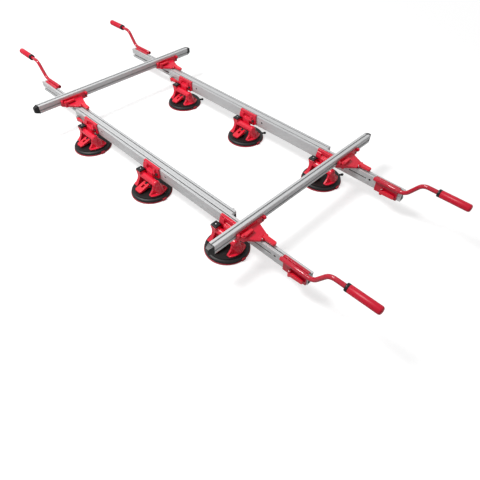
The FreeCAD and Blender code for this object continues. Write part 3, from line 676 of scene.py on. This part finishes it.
def bracket_place(node):
    """Finds points on a bracket: along the rail from the cup's middle, in from the front, and height."""
    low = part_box(node)[0]

    def place(x, y, z):
        return Vector((low.x + (BRACKET_MIDDLE + x) * MM, low.y + y * MM, z * MM))

    return place


def bracket_pieces(node):
    """The clamp bracket: a plate that flares out to a ledge round a pocket, with a boss at its end."""
    plate, bolt = solids(node)
    place = bracket_place(node)

    def length(span):
        return Vector(((span[1] - span[0]) * MM, 0, 0))

    flares = [prism([place(span[0], y, z) for y, z in FLARE_SECTION], length(span)) for span in FLARE]
    pocket = (FLARE[0][1] - POCKET_LAP, FLARE[1][0] + POCKET_LAP)
    rim = prism([place(pocket[0], y, z) for y, z in RIM_SECTION], length(pocket))
    web = block(*(place(*corner) for corner in zip(*WEB)))
    start, end, y, z = BOSS
    rise, floor, bore = end - start, end - start - BOSS_BORE_DEPTH, BOSS_BORE * BOSS_RADIUS
    outline = [(0, 0), (BOSS_RADIUS, 0), (BOSS_RADIUS, rise), (bore, rise), (bore, floor), (0, floor)]
    boss = lathe(scaled(outline), place(start, y, z), (1, 0, 0), steps=SMALL_TURN_STEPS)
    body = cast(joined(plate, *flares, rim, web, boss), BRACKET_VOXEL, rounds=3, keep=0.4)
    return [("casting", body, RED_CASTING, 0), ("bolt", bolt, BLACK_STEEL, FASTENER_EDGE)]


def nose_pieces(node):
    """The ledge's end that runs on beyond the bracket's plate."""
    place = bracket_place(node)
    nose = block(*(place(*corner) for corner in zip(*NOSE)))
    return [("ledge_nose", nose, RED_CASTING, NOSE_EDGE)]


def pad_pieces(node):
    """The suction pad: red lip with its release tab, rubber with its valve stub, and the back plate."""
    plate = solids(node)[2]
    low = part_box(node)[0]
    middle = Vector((low.x + PAD_MIDDLE * MM, low.y + PAD_MIDDLE * MM, 0))
    tab = block(*(middle + Vector(corner) * MM for corner in TAB))
    way = Vector((math.cos(STUB_ANGLE), math.sin(STUB_ANGLE), 0))
    stub = middle + way * STUB_START * MM + Vector((0, 0, STUB_HEIGHT * MM))
    return [("lip", lathe(scaled(LIP_SECTION), middle, closed=True), RED_LIP, 0),
            ("tab", tab, RED_LIP, PLATE_EDGE),
            ("rubber", lathe(scaled(RUBBER_OUTLINE), middle), BLACK_RUBBER, 0),
            ("stub", lathe(scaled(STUB_OUTLINE), stub, way, steps=SMALL_TURN_STEPS), BLACK_PLASTIC, 0),
            ("plate", plate, BLACK_PLATE, FASTENER_EDGE)]


def grip_pieces(node):
    low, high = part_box(node)
    out = 1 if low.x > 0 else -1
    start = Vector((low.x if out > 0 else high.x, (low.y + high.y) / 2, (low.z + high.z) / 2))
    length = high.x - low.x
    flat = GRIP_RADIUS - GRIP_NOSE
    turns = [math.pi / 2 * k / NOSE_STEPS for k in range(NOSE_STEPS + 1)]
    nose = [(flat + GRIP_NOSE * math.cos(a), length - GRIP_NOSE + GRIP_NOSE * math.sin(a)) for a in turns]
    grip = [(0, COLLAR_LENGTH), (GRIP_RADIUS - GRIP_SHOULDER, COLLAR_LENGTH),
            (GRIP_RADIUS, COLLAR_LENGTH + GRIP_SHOULDER)]
    radius = (high.z - low.z) / 2
    collar = [(0, 0), (radius - COLLAR_FRONT, 0), (radius, COLLAR_FRONT),
              (radius, COLLAR_LENGTH - COLLAR_BACK), (radius - COLLAR_BACK, COLLAR_LENGTH),
              (0, COLLAR_LENGTH)]
    return [("grip", lathe(grip + nose + [(0, length)], start, (out, 0, 0)), RED_GRIP, 0),
            ("collar", lathe(collar, start, (out, 0, 0)), BLACK_PLASTIC, 0)]


for row in ("front", "back"):
    dress([f"{side}_{row}_rail" for side in SIDES], rail_pieces)
    dress([f"{side}_{row}_lock_lever" for side in SIDES], lever_pieces)
for end in ENDS:
    dress([f"{end}_{side}_handle" for side in SIDES], handle_pieces)
    dress([f"{end}_{side}_grip" for side in SIDES], grip_pieces)
    dress([f"{end}_{side}_handle_lever" for side in SIDES], lever_pieces)
corners = [f"{end}_{side}" for end in ENDS for side in SIDES]
dress([f"{corner}_saddle" for corner in corners], saddle_pieces)
dress([f"{corner}_bar_lever" for corner in corners], lever_pieces)
dress([f"{corner}_rail_lever" for corner in corners], lever_pieces)
dress([f"{end}_crossbar" for end in ENDS], bar_pieces)
dress([f"{end}_crossbar_plugs" for end in ENDS], plug_pieces)
cups = [f"{side}_{column}_cup" for side in SIDES for column in COLUMNS]
dress([f"{cup}_pad" for cup in cups], pad_pieces)
dress([f"{cup}_frame" for cup in cups], frame_pieces)
dress([f"{cup}_bracket" for cup in cups], bracket_pieces)
dress([f"{side}_far_cup_bracket" for side in SIDES], nose_pieces)
dress([f"{cup}_lever" for cup in cups], lever_pieces)


# Pin heads and screws


def head_tree():
    """Geometry Nodes: a low domed head on each point, facing the way that the point's attribute says."""
    tree = bpy.data.node_groups.new("domed_heads", "GeometryNodeTree")
    sockets = {}
    for label, kind in (("Places", "NodeSocketGeometry"), ("Radius", "NodeSocketFloat"),
                        ("Rise", "NodeSocketFloat"), ("Finish", "NodeSocketMaterial")):
        sockets[label] = tree.interface.new_socket(label, in_out="INPUT", socket_type=kind).identifier
    tree.interface.new_socket("Heads", in_out="OUTPUT", socket_type="NodeSocketGeometry")
    into, out = put(tree, "NodeGroupInput"), put(tree, "NodeGroupOutput")
    ball = put(tree, "GeometryNodeMeshUVSphere",
               {"Segments": HEAD_SEGMENTS, "Rings": HEAD_RINGS, "Radius": 1.0})
    size = put(tree, "ShaderNodeCombineXYZ", {"X": into.outputs["Radius"], "Y": into.outputs["Radius"],
                                              "Z": into.outputs["Rise"]})
    head = put(tree, "GeometryNodeTransform", {"Geometry": ball.outputs["Mesh"], "Scale": size.outputs[0]})
    facing = put(tree, "GeometryNodeInputNamedAttribute", {"Name": "facing"}, data_type="FLOAT_VECTOR")
    turn = put(tree, "FunctionNodeAlignRotationToVector", {"Vector": facing.outputs["Attribute"]}, axis="Z")
    heads = put(tree, "GeometryNodeInstanceOnPoints",
                {"Points": into.outputs["Places"], "Instance": head.outputs[0], "Rotation": turn.outputs[0]})
    whole = put(tree, "GeometryNodeRealizeInstances", {"Geometry": heads.outputs[0]})
    finished = put(tree, "GeometryNodeSetMaterial",
                   {"Geometry": whole.outputs[0], "Material": into.outputs["Finish"]})
    tree.links.new(finished.outputs[0], out.inputs["Heads"])
    return tree, sockets


HEAD_TREE, HEAD_SOCKETS = head_tree()


def heads(body, label, size, finish, places):
    """Domed heads at (point, facing) places, as one piece that rides on a body."""
    mesh = bpy.data.meshes.new("head_places")
    mesh.from_pydata([point for point, facing in places], [], [])
    facings = mesh.attributes.new("facing", "FLOAT_VECTOR", "POINT")
    for entry, (point, facing) in zip(facings.data, places):
        entry.vector = facing
    work = link("head_work", mesh)
    nodes = work.modifiers.new("heads", "NODES")
    nodes.node_group = HEAD_TREE
    for name, value in (("Radius", size[0]), ("Rise", size[1]), ("Finish", finish)):
        nodes[HEAD_SOCKETS[name]] = value
    piece = link(f"{body}.{label}", evaluated(work))
    shade(piece, 0)
    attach(piece, body)


UP, DOWN = Vector((0, 0, 1)), Vector((0, 0, -1))
FRONT, BACK = Vector((0, -1, 0)), Vector((0, 1, 0))
FAR, NEAR = Vector((-1, 0, 0)), Vector((1, 0, 0))


def upright_pin(node, at_low_end):
    """Both ends of the upright pin that a lever on the rail's side turns on."""
    low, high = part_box(node)
    x = low.x + LEVER_HUB if at_low_end else high.x - LEVER_HUB
    y = (low.y + high.y) / 2
    return [(Vector((x, y, high.z + EAR_REACH)), UP), (Vector((x, y, low.z - EAR_REACH)), DOWN)]


for end in ENDS:
    for side in SIDES:
        corner = f"{end}_{side}"
        heads(f"{corner}_handle", "pin_heads", PIN_HEAD, ZINC_STEEL,
              upright_pin(f"{corner}_handle_lever", end == "near"))
        low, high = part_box(f"{corner}_rail_lever")
        x, z = low.x + LEVER_HUB, (low.z + high.z) / 2
        ends = [(Vector((x, low.y - EAR_REACH, z)), FRONT), (Vector((x, high.y + EAR_REACH, z)), BACK)]
        low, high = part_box(f"{corner}_bar_lever")
        ends.append((Vector(((low.x + high.x) / 2, low.y + BAR_LEVER_HUB, high.z)), UP))
        heads(f"{corner}_saddle", "pin_heads", PIN_HEAD, ZINC_STEEL, ends)
        low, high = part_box(f"{corner}_saddle")
        x, y, z = WALL_BOLT_PLACE
        heads(f"{corner}_saddle", "wall_bolt", WALL_BOLT, BLACK_STEEL,
              [(Vector((low.x + x, high.y - y, SADDLE_BASE + z)), NEAR)])
for side in SIDES:
    for row in ("front", "back"):
        heads(f"{side}_{row}", "pin_heads", PIN_HEAD, ZINC_STEEL,
              upright_pin(f"{side}_{row}_lock_lever", row == "front"))
for cup in cups:
    low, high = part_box(f"{cup}_lever")
    y, z = high.y - FLIP_PIVOT, high.z - FLIP_PIVOT
    heads(cup, "pin_heads", PIN_HEAD, ZINC_STEEL,
          [(Vector((low.x, y, z)), FAR), (Vector((high.x, y, z)), NEAR)])
    low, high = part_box(f"{cup}_frame")
    x, y = CAP_SCREW_PLACE
    heads(cup, "cap_screw", CAP_SCREW, ZINC_STEEL, [(Vector((low.x + x, low.y + y, high.z)), UP)])


# Floor, light and camera


def larger(tree, first, second):
    return put(tree, "ShaderNodeMath", {0: first, 1: second}, operation="MAXIMUM").outputs[0]


def ray_kinds(tree):
    """1 for rays from the camera, and 1 for rays from mirror-like surfaces or through clear ones."""
    rays = put(tree, "ShaderNodeLightPath").outputs
    return rays["Is Camera Ray"], larger(tree, rays["Is Glossy Ray"], rays["Is Transmission Ray"])


def studio():
    floor_mesh = bpy.data.meshes.new("floor")
    corners = [(x * FLOOR_REACH, y * FLOOR_REACH, FLOOR_HEIGHT)
               for x, y in ((-1, -1), (1, -1), (1, 1), (-1, 1))]
    floor_mesh.from_pydata(corners, [], [(0, 1, 2, 3)])
    floor = link("floor", floor_mesh)
    material, tree, shader, place = blank_material("pale_floor")
    shader.inputs["Base Color"].default_value = FLOOR_TONE
    shader.inputs["Roughness"].default_value = 0.9
    shader.inputs["Specular IOR Level"].default_value = 0.0
    glow = put(tree, "ShaderNodeEmission", {"Color": (1.0, 1.0, 1.0, 1.0)})
    seen, mirrored = ray_kinds(tree)
    distance = put(tree, "ShaderNodeVectorMath", {0: place}, operation="LENGTH").outputs["Value"]
    reach = put(tree, "ShaderNodeMapRange",
                {"Value": distance, "From Min": FLOOR_FADE[0], "From Max": FLOOR_FADE[1],
                 "To Min": FLOOR_GLOW[0], "To Max": FLOOR_GLOW[1]}).outputs[0]
    to_camera = put(tree, "ShaderNodeMath", {0: seen, 1: reach}, operation="MULTIPLY").outputs[0]
    to_mirrors = between(tree, mirrored, 0.0, FLOOR_MIRRORED)
    tree.links.new(larger(tree, to_camera, to_mirrors), glow.inputs["Strength"])
    both = put(tree, "ShaderNodeAddShader", {0: shader.outputs[0], 1: glow.outputs[0]})
    tree.links.new(both.outputs[0], tree.nodes["Material Output"].inputs["Surface"])
    floor_mesh.materials.append(material)

    world = bpy.data.worlds.new("studio")
    bpy.context.scene.world = world
    world.use_nodes = True
    tree = world.node_tree
    background = tree.nodes["Background"]
    background.inputs["Color"].default_value = (1.0, 1.0, 1.0, 1.0)
    shown = larger(tree, *ray_kinds(tree))
    tree.links.new(between(tree, shown, SKY_LIGHT, SKY_SEEN), background.inputs["Strength"])

    for name, place, size, power in LAMPS:
        data = bpy.data.lights.new(name, "AREA")
        data.size = size
        data.energy = power
        lamp = bpy.data.objects.new(name, data)
        lamp.location = place
        lamp.rotation_euler = (Vector(LAMP_AIM) - Vector(place)).to_track_quat("-Z", "Y").to_euler()
        bpy.context.scene.collection.objects.link(lamp)


def photo_camera():
    data = bpy.data.cameras.new("photo_view")
    data.lens = LENS_MM
    data.sensor_width = SENSOR_MM
    camera = bpy.data.objects.new("photo_view", data)
    camera.location = CAMERA_PLACE
    camera.rotation_euler = (math.radians(90 - VIEW_ELEVATION), 0, math.radians(VIEW_AZIMUTH))
    bpy.context.scene.collection.objects.link(camera)
    bpy.context.scene.camera = camera


studio()
photo_camera()
bpy.context.scene.view_settings.view_transform = "Standard"
